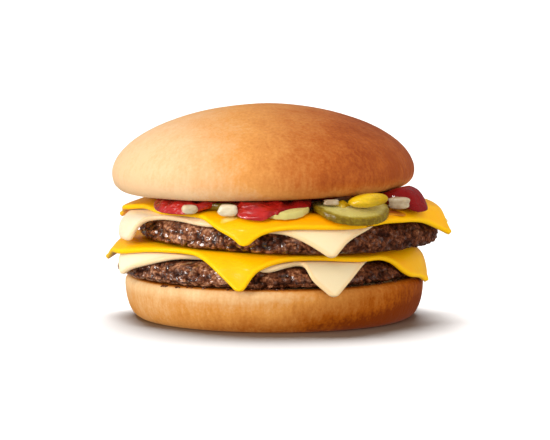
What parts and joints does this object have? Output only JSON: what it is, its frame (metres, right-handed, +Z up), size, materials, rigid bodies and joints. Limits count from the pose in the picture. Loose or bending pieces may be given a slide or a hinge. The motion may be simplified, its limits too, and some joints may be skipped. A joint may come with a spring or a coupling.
{
  "type": "double cheeseburger",
  "caption": "Double cheeseburger in a plain bun, with melted white and yellow cheese, pickle, onion, ketchup and mustard.",
  "frame": {"origin": "On the surface that the burger stands on, under the middle of its bounding box.", "axes": "+Z up through the layers; the front, where one corner of each slice of cheese hangs down, faces -Y; +X is to the front's right."},
  "size_m": [0.1144, 0.1056, 0.0701],
  "materials": {
    "bun": "baked, satin, golden brown on top and cream at the cut",
    "patty": "fried and crumbly, moist in the hollows",
    "white_cheese": "soft and satin",
    "yellow_cheese": "soft and satin",
    "pickle": "wet, pale flesh with a darker green skin round the rim",
    "onion": "wet and slightly translucent",
    "ketchup": "glossy",
    "mustard": "glossy"
  },
  "bodies": {
    "root": {"bun_heel": "bun", "patty_lower": "patty", "cheese_lower_white": "white_cheese", "cheese_lower_yellow": "yellow_cheese", "patty_upper": "patty", "cheese_upper_white": "white_cheese", "cheese_upper_yellow": "yellow_cheese", "bun_crown": "bun", "mustard": "mustard", "pickle_left": "pickle", "pickle_centre": "pickle", "pickle_right": "pickle", "pickle_back": "pickle", "onion_front_left": "onion", "onion_front": "onion", "onion_on_pickle": "onion", "onion_right": "onion", "onion_back_left": "onion", "onion_back": "onion", "onion_left": "onion", "ketchup": "ketchup"}
  },
  "joints": []
}
